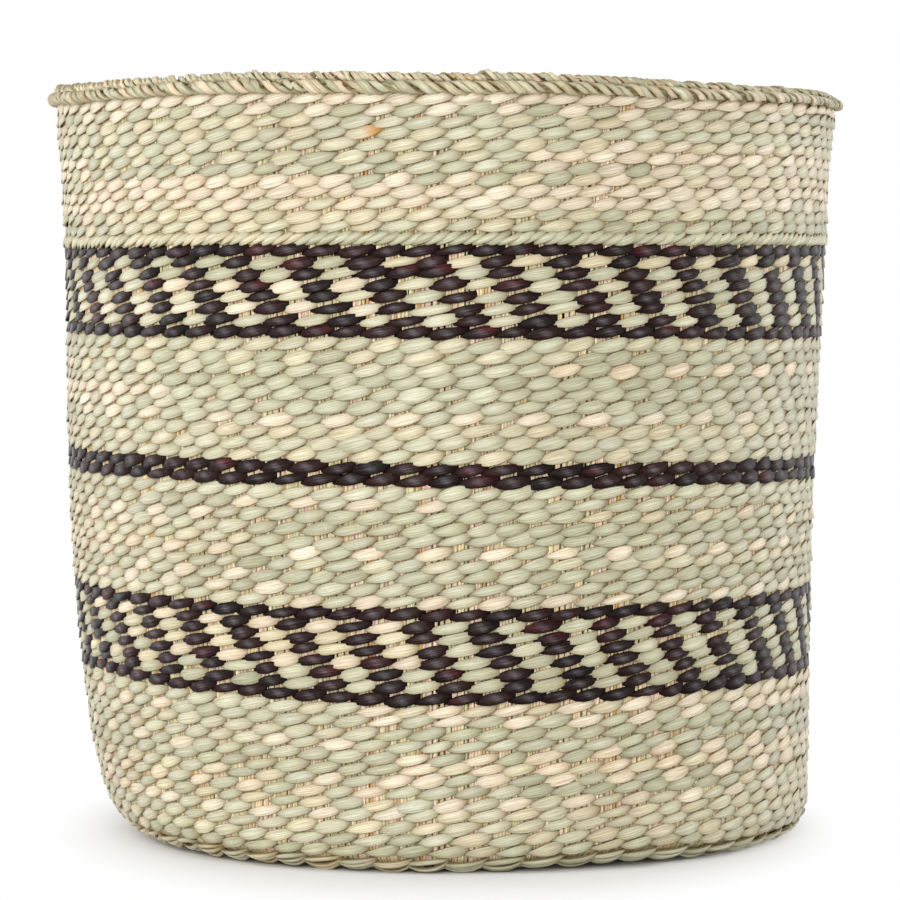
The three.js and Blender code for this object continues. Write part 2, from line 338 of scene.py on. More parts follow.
class Weave:
    """Gathers strands into one mesh, with the colour of each point, its share of an accent, and two maps.

    The map Strand gives places on the strands in millimetres. OFBake gives each stitch a cell of its own.
    """

    def __init__(self):
        self.points = []
        self.tones = []
        self.faces = []
        self.slots = []
        self.strand_map = []
        self.cell_map = []
        self.point_count = 0
        self.cell_count = 0

    def add(self, points, tones, lengths, around, cell_steps, slots=0, closed=True):
        """Adds a tube of rings of points. cell_steps says how many of its steps each cell holds.

        Lengths are places along the tube and around gives places round it, both in millimetres. slots is
        the material of each step, or of all of them.
        """
        rings, sides = points.shape[:2]
        steps = rings if closed else rings - 1
        step, side = np.meshgrid(np.arange(steps), np.arange(sides), indexing="ij")
        step, side = step.ravel(), side.ravel()
        ring_of = np.stack([step, step, step + 1, step + 1], axis=1)
        side_of = np.stack([side, side + 1, side + 1, side], axis=1)
        cell = np.repeat(np.arange(len(cell_steps)), cell_steps)
        begins = np.cumsum(cell_steps) - cell_steps
        within = (ring_of - begins[cell[step]][:, None]) / np.asarray(cell_steps)[cell[step]][:, None]
        within = within * (1 if closed else TUBE_SHARE)
        cells = np.repeat(cell[step][:, None], 4, axis=1) + self.cell_count
        self.faces.append(self.point_count + (ring_of % rings) * sides + side_of % sides)
        self.strand_map.append(np.stack([lengths[ring_of], around[side_of]], axis=-1))
        self.cell_map.append(np.stack([cells, within, around[side_of] / around[-1]], axis=-1))
        self.slots.append(np.repeat(np.broadcast_to(slots, steps), sides))
        if not closed:
            self.add_caps(rings, sides, lengths)
        self.points.append(points.reshape(-1, 3))
        self.tones.append(tones.reshape(-1, 4))
        self.point_count += rings * sides
        self.cell_count += len(cell_steps)

    def add_caps(self, rings, sides, lengths):
        """Closes the two ends of a tube that is about to be added, with a strip of quads each."""
        near = np.arange(sides // 2 - 1)
        strip = np.stack([near, near + 1, sides - 2 - near, sides - 1 - near], axis=1)
        ends = ((0, strip[:, ::-1]), (rings - 1, strip))
        for (ring, corners), place in zip(ends, CAP_PLACES):
            turn = FULL * corners / sides
            self.faces.append(self.point_count + ring * sides + corners)
            self.slots.append(np.zeros(len(corners), int))
            self.strand_map.append(np.stack([lengths[ring] + np.cos(turn), np.sin(turn)], axis=-1))
            cells = np.full(corners.shape, self.cell_count)
            within = place + CAP_HALF[0] * np.cos(turn)
            across = 0.5 + CAP_HALF[1] * np.sin(turn)
            self.cell_map.append(np.stack([cells, within, across], axis=-1))

    def mesh(self, name, columns):
        """The mesh of all that was added, with so many cells in one row of its second map."""
        points = np.concatenate(self.points) * MM
        faces = np.concatenate(self.faces)
        mesh = bpy.data.meshes.new(name)
        mesh.vertices.add(len(points))
        mesh.vertices.foreach_set("co", points.astype(np.float32).ravel())
        mesh.loops.add(faces.size)
        mesh.loops.foreach_set("vertex_index", faces.astype(np.int32).ravel())
        mesh.polygons.add(len(faces))
        mesh.polygons.foreach_set("loop_start", np.arange(0, faces.size, 4, dtype=np.int32))
        mesh.polygons.foreach_set("material_index", np.concatenate(self.slots).astype(np.int32))
        tones = np.concatenate(self.tones)
        tone = mesh.attributes.new("tone", "FLOAT_COLOR", "POINT")
        tone.data.foreach_set("color", tones.astype(np.float32).ravel())
        strand = mesh.uv_layers.new(name="Strand")
        strand.data.foreach_set("uv", np.concatenate(self.strand_map).astype(np.float32).ravel())
        cell, along, across = np.moveaxis(np.concatenate(self.cell_map), -1, 0)
        rows = math.ceil(self.cell_count / columns)
        u = (cell % columns + CELL_GAP / 2 + (1 - CELL_GAP) * along) / columns
        v = (cell // columns + CELL_GAP / 2 + (1 - CELL_GAP) * across) / rows
        bake = mesh.uv_layers.new(name="OFBake")
        bake.data.foreach_set("uv", np.stack([u, v], axis=-1).astype(np.float32).ravel())
        mesh.update(calc_edges=True)
        mesh.shade_smooth()
        return mesh


def add_piece(name, weave, columns, materials, slot, *nodes):
    mesh = weave.mesh(name, columns)
    for material in materials:
        mesh.materials.append(material)
    piece = bpy.data.objects.new(name, mesh)
    bpy.context.scene.collection.objects.link(piece)
    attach(piece, "root")
    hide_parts(*nodes)


def girth_places(section, width, thickness):
    """How far round a section each of its corners lies, from the first corner right round to it again."""
    corners = np.stack([section[0] * width / 2, section[1] * thickness / 2], axis=-1)
    sides = np.linalg.norm(np.roll(corners, -1, axis=0) - corners, axis=1)
    return np.append(0, np.cumsum(sides))


def ring_strand(along, path, width, thickness, crown, roll):
    """Points of a strand that runs right round the basket.

    The path gives for each step how far round, how far up from the course's line and how far out it is.
    The crown bends the strand across, so that its middle stands out from its edges.
    """
    radius = wall_line(along)[0]
    step = np.roll(path, -1, axis=0) - np.roll(path, 1, axis=0)
    step[:, 0] %= FULL * radius
    forward = step / np.linalg.norm(step, axis=1, keepdims=True)
    upward = np.array([0.0, 1.0, 0.0]) - forward * forward[:, 1:2]
    upward /= np.linalg.norm(upward, axis=1, keepdims=True)
    outward = np.cross(forward, upward)
    turn_cos = np.cos(roll)[:, None]
    turn_sin = np.sin(roll)[:, None]
    wide = (upward * turn_cos + outward * turn_sin) * width[:, None] / 2
    face = outward * turn_cos - upward * turn_sin
    across, out = RIBBON
    depth = thickness[:, None] / 2 * out + crown[:, None] * (1 - across ** 2)
    points = path[:, None] + wide[:, None] * across[:, None] + face[:, None] * depth[..., None]
    return in_space(along + points[..., 1], points[..., 2], points[..., 0] / radius)


# Twining


def half_cosine(steps):
    """Shares from 0 up to 1, closer together near both ends, without the 1."""
    return 0.5 - 0.5 * np.cos(np.pi * np.arange(steps) / steps)


def hump(share, low, high):
    """0 at both ends of a stitch and 1 at its middle. A higher power makes that half of it fuller."""
    return 1 - np.abs(1 - 2 * share) ** np.where(share < 0.5, low, high)


def twined_course(weave, twine, along, stitches, start, strands, rng):
    """One course: strands that pass in front of the stems and behind them by turns."""
    unit = FULL / stitches
    crossings = start + unit * (np.arange(stitches) + rng.normal(0, CROSSING_JITTER, stitches))
    crossings = np.concatenate([crossings, crossings[:twine.strands] + FULL])
    wave_heights = rng.normal(0, WANDER, len(WAVES))
    wave_starts = rng.uniform(0, FULL, len(WAVES))
    radius = wall_line(along)[0]
    over = half_cosine(OVER_STEPS)
    under = half_cosine(UNDER_STEPS)
    side = np.concatenate([np.ones(OVER_STEPS), -np.ones(UNDER_STEPS)])
    place = np.concatenate([over, 1 - under])  # 0 at the low end of a stitch and 1 at its high end
    fullness = hump(place, LOW_BOW, HIGH_BOW)
    ends = twine.low_end + (twine.high_end - twine.low_end) * place
    rise = twine.climb * (2 * place - 1)
    turns = stitches // twine.strands
    thickness = np.full(turns * len(place), twine.thickness)
    crown = np.tile(side * fullness * twine.crown, turns)
    around = girth_places(RIBBON, twine.width, twine.thickness)
    overlap = OVERLAP * unit
    for number, strand in enumerate(strands):
        first = twine.strands * np.arange(turns) + number
        begin = crossings[first][:, None] - overlap
        turn = crossings[first + twine.strands - 1][:, None] + overlap
        finish = crossings[first + twine.strands][:, None] - overlap
        angle = np.hstack([begin + (turn - begin) * over, turn + (finish - turn) * under])
        wander = (wave_heights * np.sin(WAVES * angle[..., None] + wave_starts)).sum(axis=-1)
        for apart in twine.plies:
            drift, wider, lift, tilt, twist, skew = rng.normal(0, 1, (6, turns, 1))
            outline = hump(place + skew * SKEW_JITTER * place * (1 - place), LOW_TAPER, HIGH_TAPER)
            ply_rise = apart * (PLY_GATHER + (1 - PLY_GATHER) * fullness)
            path_rise = rise + wander + (drift - 1) * twine.slack * fullness + ply_rise
            bow = side * twine.lift * fullness * (1 + lift * LIFT_JITTER)
            path_out = bow + CROSSING_OUT * (1 - fullness)
            full_width = twine.width * strand.widths[:, None] * (1 + wider * WIDTH_JITTER)
            width = ends + (full_width - ends) * outline
            lean_back = FACE_UP + tilt * TILT_JITTER + (place - 0.5) * twist * TWIST_JITTER
            roll = -side * fullness * lean_back
            path = np.stack([angle * radius, path_rise, path_out], axis=-1).reshape(-1, 3)
            points = ring_strand(along, path, width.ravel(), thickness, crown, roll.ravel())
            colours = stitch_colours(strand, place, side, fullness, rng)
            lengths = np.append(angle.ravel() - angle[0, 0], FULL) * radius + rng.uniform(0, MAP_SPREAD)
            cell_steps = np.tile([OVER_STEPS, UNDER_STEPS], turns)
            slots = np.repeat(strand.slots, len(place))
            weave.add(points, colours, lengths, around, cell_steps, slots)


# Strands: the material slot, colour and width of a strand at each turn, and how much of an accent it has
# there. A natural strand is tanned where it goes in. A dyed one shows wine red where the dye took thinly.
# A stain makes the end of a stitch amber. Places along a stitch go from 0 to 1.
Strand = namedtuple("Strand", "slots tones widths accents stains")
# Edges: partly the leaf's real tan outline, partly a painted shadow line between stitches. Ends: painted
# shade where a stitch turns in under the next one.
EDGE_TAN_AND_PAINTED_SHADE = np.array([0.60, 0.66, 0.78])  # darker and browner at its edges and ends: real tan and painted shade
EDGE_POWER = 10  # the shade keeps close to the edges
PAINTED_END_SHADE = 0.8  # of that shade at the ends, all of it painted shade where a stitch turns in
END_POWER = 1.5
PAINTED_HIGHLIGHT = np.array([0.05, 0.05, 0.05])  # painted highlight: light added to the colour where the face stands out most
# painted sheen on the dyed strands: the same kind of added light, made stronger
DYED_PAINTED_SHEEN = np.array([0.085, 0.083, 0.095])
# length along a stitch of the painted highlight, and how it falls off across the face
HIGHLIGHT_LENGTH = 0.14
HIGHLIGHT_POWER = 1.5
TAN_SHARE = 0.12  # of the accent, all along a natural strand
HIGH_TAN = (0.66, 0.3)  # where its tan begins towards the high end, and over what length it grows
LOW_TAN = (0.22, -0.2)
LOW_TAN_SHARE = 0.5
FLASH_MIDDLES = (0.3, 0.7)
FLASH_LENGTH = 0.25
FLASH_ACROSS = (0.4, 0.5)  # middle and spread of a flash across the strand
STAIN_BEGIN = (0.6, 0.15)  # where its amber begins, and over what length it grows

STRAW_SHARE = 0.3  # of the natural leaves
SAGE_RANGE = (0.1, 1.2)  # from deep sage to a little past sage
LEAF_TURNS = (4, 16)  # how long one leaf lasts
LEAF_SHADES = 0.05  # how much leaves differ in brightness
LEAF_WIDTHS = (0.88, 1.08)
STITCH_SHADES = 0.04
LEAST_TAN = 0.25
MORE_TAN = 0.65
TAN_POWER = 3  # few stitches are tanned strongly

WINE_SHARE = 0.16  # of the dark stitches
WINE_DEPTHS = (0.3, 0.9)
DYED_WIDTHS = (0.94, 1.04)
LAID_IN_SHARE = 0.02  # of the natural stitches in a checked course, where a dark leaf was laid in


def stitch_colours(strand, place, side, fullness, rng):
    """Colour and share of the accent at each point of a strand, by turn, step and place across."""
    turns = len(strand.tones)
    across, out = RIBBON
    # painted shade: darker towards the edges, where there is real tan too, and towards the ends
    edge = np.abs(across) ** EDGE_POWER + PAINTED_END_SHADE * (1 - fullness[:, None]) ** END_POWER
    shade = 1 - np.clip(edge, 0, 1)[..., None] * EDGE_TAN_AND_PAINTED_SHADE
    # painted highlight in the middle of each stitch's outer face
    highlight_mask = bell(place, 0.5, HIGHLIGHT_LENGTH)[:, None] * (1 - np.abs(across)) ** HIGHLIGHT_POWER * (out > 0)
    tan = TAN_SHARE + ramp(place, *HIGH_TAN) + LOW_TAN_SHARE * ramp(place, *LOW_TAN)
    middle = rng.uniform(*FLASH_MIDDLES, (turns, 1))
    flash = bell(place, middle, FLASH_LENGTH) * (side > 0)
    upper = bell(across, *FLASH_ACROSS) * (out > 0)
    dyed = strand.slots[:, None, None] == 1
    highlight_colour = np.where(dyed[..., None], DYED_PAINTED_SHEEN, PAINTED_HIGHLIGHT)
    colours = np.empty((turns, len(place), len(across), 4))
    colours[..., :3] = strand.tones[:, None, None] * shade + highlight_mask[..., None] * highlight_colour
    stained = strand.stains[:, None, None, None] * ramp(place, *STAIN_BEGIN)[:, None, None]
    colours[..., :3] += stained * (AMBER - colours[..., :3])
    accent = np.where(dyed, flash[:, :, None] * upper, tan[:, None])
    colours[..., 3] = strand.accents[:, None, None] * accent
    return colours


def natural_strand(rng, turns, blush):
    """A natural strand, pieced from leaves that each last ten turns or so."""
    tones = np.empty((turns, 3))
    widths = np.empty(turns)
    place = 0
    while place < turns:
        leaf = slice(place, place + int(rng.integers(*LEAF_TURNS)))
        kind = rng.random()
        if kind < blush:
            colour = BLUSH + (CREAM - BLUSH) * rng.random()
        elif kind < blush + STRAW_SHARE:
            colour = STRAW + (SAGE - STRAW) * rng.random()
        else:
            colour = DEEP_SAGE + (SAGE - DEEP_SAGE) * rng.uniform(*SAGE_RANGE)
        tones[leaf] = colour * math.exp(rng.normal(0, LEAF_SHADES))
        widths[leaf] = rng.uniform(*LEAF_WIDTHS)
        place = leaf.stop
    tones *= np.exp(rng.normal(0, STITCH_SHADES, (turns, 1)))
    accents = LEAST_TAN + MORE_TAN * rng.random(turns) ** TAN_POWER
    return Strand(np.zeros(turns, int), tones, widths, accents, np.zeros(turns))


def dark_strand(rng, turns):
    """A dyed strand."""
    brown = rng.random((turns, 1))
    tones = DYED_BLACK + (DYED_BROWN - DYED_BLACK) * brown
    accents = np.where(rng.random(turns) < WINE_SHARE, rng.uniform(*WINE_DEPTHS, turns), 0)
    return Strand(np.ones(turns, int), tones, rng.uniform(*DYED_WIDTHS, turns), accents, np.zeros(turns))


def checked_strand(rng, turns, blush):
    """The natural strand of a checked course, with a dark leaf laid in here and there."""
    natural = natural_strand(rng, turns, blush)
    dark = dark_strand(rng, turns)
    laid_in = rng.random(turns) < LAID_IN_SHARE
    tones = np.where(laid_in[:, None], dark.tones, natural.tones)
    accents = np.where(laid_in, dark.accents, natural.accents)
    return Strand(laid_in.astype(int), tones, natural.widths, accents, natural.stains)


def woven_course(weave, letter, along, start, band, rng, stain=None):
    """One course of the wall, as its letter in the draft says. A stain is given by its angle."""
    twine = {"N": FIELD_TWINE, "W": WALE_TWINE}.get(letter, CHECK_TWINE)
    turns = band.stitches // twine.strands
    if letter == "M":
        strands = [dark_strand(rng, turns), checked_strand(rng, turns, band.blush)]
    elif letter == "D":
        strands = [dark_strand(rng, turns) for _ in range(twine.strands)]
    else:
        strands = [natural_strand(rng, turns, band.blush) for _ in range(twine.strands)]
    if stain is not None:
        stitch = round((stain - start) * band.stitches / FULL) - 1
        strands[stitch % twine.strands].stains[stitch // twine.strands % turns] = 1
    twined_course(weave, twine._replace(width=band.width), along, band.stitches, start, strands, rng)


def wall_band(name, seed, first_course):
    """The strands of one band of the wall. first_course counts the courses under it."""
    band = BANDS[name]
    rng = np.random.default_rng(seed)
    weave = Weave()
    low, high = box_mm(name)
    course = (high[2] - low[2]) / len(band.draft) / math.cos(lean)
    bottom = (low[2] - foot_top) / math.cos(lean)
    unit = FULL / band.stitches
    for i, letter in enumerate(band.draft):
        start = -COURSE_SHIFT * unit * (first_course + i)
        if band.check_start is not None:
            below = band.draft.rindex("M") - i
            start = math.radians(band.check_start) + COURSE_SHIFT * unit * below
        start += unit * rng.normal(0, START_JITTER)
        stain = math.radians(STAIN.angle) if (name, i) == (STAIN.band, STAIN.course) else None
        shaded = band._replace(blush=band.blush * rng.uniform(*BLUSH_RANGE))
        woven_course(weave, letter, bottom + course * (i + 0.5), start, shaded, rng, stain)
    return weave


def foot_courses(weave, seed):
    """The natural courses that turn in round the curve of the foot."""
    rng = np.random.default_rng(seed)
    band = BANDS["foot_field"]
    for i in range(FOOT_COURSES):
        start = COURSE_SHIFT * FULL / band.stitches * (i + 1)
        woven_course(weave, "N", -FOOT_COURSE * (i + 0.5), start, band, rng)


def foot_wale(weave, seed):
    """The course that the basket stands on. Each of its strands is three narrow ones side by side."""
    rng = np.random.default_rng(seed)
    turns = FOOT_WALE_STITCHES // FOOT_TWINE.strands
    strands = [natural_strand(rng, turns, 0.0) for _ in range(FOOT_TWINE.strands)]
    twined_course(weave, FOOT_TWINE, FOOT_WALE_PLACE, FOOT_WALE_STITCHES, 0.0, strands, rng)


def base_courses(seed):
    """The courses of the base, from inside the foot wale to the knot. Shorter ones have fewer stitches."""
    rng = np.random.default_rng(seed)
    weave = Weave()
    outside = FOOT_WALE_PLACE - BASE_EDGE
    inside = -stem_turn * QUARTER - (base_radius - BASE_START)
    count = round((outside - inside) / BASE_COURSE)
    for i in range(count + 1):
        along = outside + (inside - outside) * i / count
        pairs = max(FEWEST_PAIRS, round(math.pi * wall_line(along)[0] / BASE_STITCH))
        strands = [natural_strand(rng, pairs, BASE_BLUSH) for _ in range(2)]
        twined_course(weave, CHECK_TWINE, along, 2 * pairs, rng.uniform(0, 1), strands, rng)
    return weave


# Stems


def stem_tones(rng, rings):
    kind = rng.choice(len(STEM_COLOURS), p=STEM_SHARES)
    colour = STEM_COLOURS[kind] * math.exp(rng.normal(0, STEM_SHADES))
    tones = np.zeros((rings, STEM_SIDES, 4))
    tones[..., :3] = colour * np.exp(rng.normal(0, STEM_RING_SHADES, (rings, 1, 1)))
    return tones


def add_stem(weave, points, tones, lengths, size):
    """Adds a stem with closed ends. Its size is its radius."""
    around = size * np.append(STEM_TURNS, FULL)
    weave.add(points, tones, lengths, around, [len(lengths) - 1], closed=False)


def upright_stems(seed):
    """The stems: in across the base, round the foot and up the wall into the border."""
    rng = np.random.default_rng(seed)
    weave = Weave()
    wall = np.linspace(0, wall_length + STEM_TOP, WALL_RINGS)
    foot = stem_turn * np.linspace(-QUARTER, 0, FOOT_RINGS)[:-1]
    for i in range(STEMS):
        begin = STEM_BEGINS[i % len(STEM_BEGINS)] + rng.uniform(-STEM_BEGIN_JITTER, STEM_BEGIN_JITTER)
        inward = np.linspace(base_radius - begin, BEND_MARGIN, BASE_RINGS)
        along = np.concatenate([-stem_turn * QUARTER - inward, foot, wall])
        middle = FULL * (i + rng.normal(0, STEM_SPACING_JITTER)) / STEMS
        size = rng.uniform(*STEM_RADII)
        wander = rng.normal(0, STEM_WANDER, len(along))[:, None]
        sideways = size * np.cos(STEM_TURNS) + wander
        out = size * np.sin(STEM_TURNS) + rng.uniform(*STEM_OUT)
        angle = middle + sideways / np.maximum(wall_line(along)[0], TIGHTEST_RADIUS)[:, None]
        points = in_space(along[:, None], np.broadcast_to(out, angle.shape), angle)
        lengths = along - along[0] + rng.uniform(0, MAP_SPREAD)
        add_stem(weave, points, stem_tones(rng, len(along)), lengths, size)
    return weave


def base_knot(seed):
    """Crossed bundles of stems in the middle of the base, from which the others fan out."""
    rng = np.random.default_rng(seed)
    weave = Weave()
    reach = box_mm("base_start")[1][0]
    middle = base_rise + STEM_DEPTH
    run = np.linspace(-reach, reach, KNOT_RINGS)
    upward = np.array([0, 0, 1])
    for bundle in range(KNOT_BUNDLES):
        facing = math.pi * bundle / KNOT_BUNDLES + KNOT_HEADING
        forward = np.array([math.cos(facing), math.sin(facing), 0])
        sideways = np.array([-math.sin(facing), math.cos(facing), 0])
        layer = (bundle - (KNOT_BUNDLES - 1) / 2) * KNOT_LAYER * (1 - (run / reach) ** 2)
        for i in range(KNOT_STEMS):
            size = rng.uniform(*KNOT_RADII)
            offset = KNOT_PITCH * (i - (KNOT_STEMS - 1) / 2) + rng.normal(0, KNOT_JITTER[0])
            height = middle + layer + rng.normal(0, KNOT_JITTER[1], len(run))
            line = run[:, None] * forward + offset * sideways + height[:, None] * upward
            ring = size * (np.cos(STEM_TURNS)[:, None] * sideways + np.sin(STEM_TURNS)[:, None] * upward)
            lengths = run + reach + rng.uniform(0, MAP_SPREAD)
            add_stem(weave, line[:, None] + ring[None], stem_tones(rng, len(run)), lengths, size)
    return weave


# Border


def border_cord(cord):
    """A ring of cord twisted from plies of rush, loosely and unevenly."""
    rng = np.random.default_rng(cord.seed)
    weave = Weave()
    low, high = box_mm(cord.node)
    along = ((high[2] + low[2]) / 2 - foot_top) / math.cos(lean)
    girth = wall_line(along)[0]
    middle_out = high[0] - cord.width / 2 - girth
    half_rise = (high[2] - low[2] - cord.ply) / 2 + cord.swell[1]
    half_out = (cord.width - cord.ply) / 2 + cord.swell[0]
    rings = cord.turns * CORD_STEPS
    angle = FULL * np.arange(rings) / rings
    around = girth_places(RIBBON, cord.ply * PLY_FLATNESS, cord.ply)
    # the plies' edges: browner, with a painted shadow line along them
    shade = 1 - np.abs(RIBBON[0])[:, None] ** EDGE_POWER * EDGE_TAN_AND_PAINTED_SHADE
    for ply in range(cord.plies):
        wobble = np.repeat(rng.normal(0, 1, (4, cord.turns)), CORD_STEPS, axis=1)
        before = np.roll(wobble, WOBBLE_BLEND, axis=1)
        after = np.roll(wobble, -WOBBLE_BLEND, axis=1)
        wobble = (before + wobble + after) / 3
        twist = FULL * ply / cord.plies - cord.turns * angle + TWIST_WOBBLE * wobble[0]
        thickness = cord.ply * (1 + THICKNESS_WOBBLE * wobble[1])
        loose = 1 + cord.loose * wobble[2]
        rise = half_rise * loose * np.sin(twist) + RISE_WOBBLE * wobble[3] - cord.bed
        out = middle_out + half_out * loose * np.cos(twist)
        path = np.stack([angle * girth, rise, out], axis=-1)
        points = ring_strand(along, path, PLY_FLATNESS * thickness, thickness, np.zeros(rings), -twist)
        strand = natural_strand(rng, cord.turns, CORD_BLUSH)
        tones = np.zeros((rings, len(shade), 4))
        tones[..., :3] = np.repeat(strand.tones, CORD_STEPS, axis=0)[:, None] * shade
        tones[..., 3] = np.repeat(strand.accents, CORD_STEPS)[:, None]
        lengths = np.append(angle, FULL) * girth * PLY_LENGTH + rng.uniform(0, MAP_SPREAD)
        weave.add(points, tones, lengths, around, np.full(cord.turns, CORD_STEPS))
    return weave


def stem_ends(weave, seed):
    """Ends of the stems that stick out between the outer cord and the top one."""
    rng = np.random.default_rng(seed)
    along = (box_mm("border_top_cord")[0][2] - foot_top) / math.cos(lean)
    girth = wall_line(along)[0]
    for i in range(STEM_ENDS):
        size = rng.uniform(*END_RADII)
        run = np.linspace(0, rng.uniform(*END_LENGTHS), END_RINGS)
        heading = rng.uniform(*END_HEADINGS)
        place = FULL * girth * (i + rng.random()) / STEM_ENDS + run * math.cos(heading)
        rise = rng.uniform(*END_RISES) + run * math.sin(heading)
        out = rng.uniform(*END_OUT) + END_FLARE * run
        across = size * np.cos(STEM_TURNS)
        angle = np.repeat(place[:, None], STEM_SIDES, axis=1) / girth
        points = in_space(along + rise[:, None] + across, out[:, None] + size * np.sin(STEM_TURNS), angle)
        tones = stem_tones(rng, len(run)) * (*STEM_END_SHADE, 1)
        add_stem(weave, points, tones, run + rng.uniform(0, MAP_SPREAD), size)


# Materials

FIBRE_RUN = 16  # length of the fibres
PATCH_SIZE = (8, 5)  # of the yellower patches, along and across
YELLOWED = (1.02, 0.97, 0.86)
STREAK_RANGE = (0.38, 0.62)  # parts of the noise that go from dark fibres to light ones
ACCENT_RANGE = (0.44, 0.58)
GLOSS_RANGE = (0.34, 0.66)
LEAF_IOR = 1.47


def add_node(tree, kind, inputs=None, **settings):
    """Adds a node with its settings. An input is a value, or an output that is linked to it."""
    node = tree.nodes.new(kind)
    for name, value in settings.items():
        setattr(node, name, value)
    for key, value in (inputs or {}).items():
        if isinstance(value, bpy.types.NodeSocket):
            tree.links.new(value, node.inputs[key])
        else:
            node.inputs[key].default_value = value
    return node


def new_material(name):
    """An empty material and its tree of nodes."""
    material = bpy.data.materials.new(name)
    material.use_nodes = True
    material.node_tree.nodes.clear()
    return material, material.node_tree


def multiplied(tree, first, second):
    """The product of two vectors or colours."""
    return add_node(tree, "ShaderNodeVectorMath", {0: first, 1: second}, operation="MULTIPLY").outputs[0]


def mixed_colour(tree, share, first, second):
    return add_node(tree, "ShaderNodeMix", {0: share, 6: first, 7: second}, data_type="RGBA").outputs[2]


def ranged(tree, value, span, low=0.0, high=1.0):
    """A value that goes from low to high as another goes through a span."""
    inputs = {"Value": value, "From Min": span[0], "From Max": span[1], "To Min": low, "To Max": high}
    return add_node(tree, "ShaderNodeMapRange", inputs).outputs[0]


def leaf_material(name, accent, rib_spacing, rib_depth, fibres, roughness, specular):
    """A dried leaf or stem with ribs along it: dark and light fibres, and a relief of the same ribs.

    Its colour comes from the tone of each strand, times the shades of its dark and light fibres, and the
    accent streaks it where the strand says so. Broader patches are a little yellower.
    """
    material, tree = new_material(name)
    place = add_node(tree, "ShaderNodeUVMap", uv_map="Strand").outputs["UV"]
    tone = add_node(tree, "ShaderNodeAttribute", attribute_name="tone").outputs
    rib_place = multiplied(tree, place, (1 / FIBRE_RUN, 1 / rib_spacing, 0))
    ribs = add_node(
        tree, "ShaderNodeTexNoise", {"Vector": rib_place, "Scale": 1.0, "Detail": 3.0, "Roughness": 0.7},
        noise_dimensions="2D").outputs["Fac"]
    patch_place = multiplied(tree, place, (1 / PATCH_SIZE[0], 1 / PATCH_SIZE[1], 0))
    patches = add_node(
        tree, "ShaderNodeTexNoise", {"Vector": patch_place, "Scale": 1.0, "Detail": 2.0},
        noise_dimensions="2D").outputs["Fac"]
    lightness = ranged(tree, ribs, STREAK_RANGE)
    streaks = mixed_colour(tree, lightness, (*fibres[0], 1.0), (*fibres[1], 1.0))
    yellow = mixed_colour(tree, patches, (1.0, 1.0, 1.0, 1.0), (*YELLOWED, 1.0))
    plain = multiplied(tree, multiplied(tree, tone["Color"], streaks), yellow)
    accent_ribs = ranged(tree, ribs, ACCENT_RANGE)
    accent_share = add_node(
        tree, "ShaderNodeMath", {0: accent_ribs, 1: tone["Alpha"]}, operation="MULTIPLY")
    colour = mixed_colour(tree, accent_share.outputs[0], plain, (*accent, 1.0))
    relief = add_node(
        tree, "ShaderNodeBump", {"Height": ribs, "Distance": rib_depth * MM, "Strength": 1.0})
    surface = add_node(
        tree, "ShaderNodeBsdfPrincipled",
        {"Base Color": colour, "Roughness": ranged(tree, ribs, GLOSS_RANGE, *roughness),
         "Normal": relief.outputs[0], "IOR": LEAF_IOR, "Specular IOR Level": specular})
    add_node(tree, "ShaderNodeOutputMaterial", {"Surface": surface.outputs[0]})
    return material


def sun_dried_rush():
    """Rush, split flat and dried in the sun: a satin skin over fine ribs, sage where it kept its green.

    The real ribs are 0.3 mm apart. They are drawn a little coarser, so that they show. The accent is the
    tan of a strand where it bends in.
    """
    return leaf_material(
        "sun_dried_rush", TIP_TAN, rib_spacing=0.38, rib_depth=0.07,
        fibres=((0.68, 0.64, 0.52), (1.15, 1.16, 1.20)), roughness=(0.34, 0.50), specular=0.9)


def dyed_rush():
    """Rush boiled in dark dye: nearly black, with a painted sheen streaked by its ribs, and flashes of
    wine red.
    """
    return leaf_material(
        "dyed_rush", WINE, rib_spacing=0.38, rib_depth=0.09,
        fibres=((0.35, 0.35, 0.35), (1.6, 1.6, 1.6)), roughness=(0.2, 0.34), specular=0.1)


def twisted_rush_cord():
    """Narrow rush twisted into cord while damp: it dries hard and creased, so its streaks are stronger."""
    return leaf_material(
        "twisted_rush_cord", TIP_TAN, rib_spacing=0.45, rib_depth=0.12,
        fibres=((0.66, 0.62, 0.50), (1.38, 1.40, 1.45)), roughness=(0.38, 0.54), specular=0.9)


def dry_grass_stems():
    """Fine grass stems, dried and left round: matt, with faint streaks."""
    return leaf_material(
        "dry_grass_stems", TIP_TAN, rib_spacing=0.8, rib_depth=0.1,
        fibres=((0.84, 0.82, 0.78), (1.06, 1.06, 1.06)), roughness=(0.55, 0.72), specular=0.45)


# Pieces

rush = sun_dried_rush()
dark_rush = dyed_rush()
cord_rush = twisted_rush_cord()
stem_grass = dry_grass_stems()

COURSE_SLOTS = {"N": "natural_rush", "D": "dark_rush", "W": "cord_rush"}
courses_below = 0
for number, band_name in enumerate(BANDS):
    weave = wall_band(band_name, BAND_SEED + number, courses_below)
    band_slot = COURSE_SLOTS[BANDS[band_name].draft[0]]
    add_piece(band_name + "_twining", weave, WALL_COLUMNS, (rush, dark_rush), band_slot, band_name)
    courses_below += len(BANDS[band_name].draft)

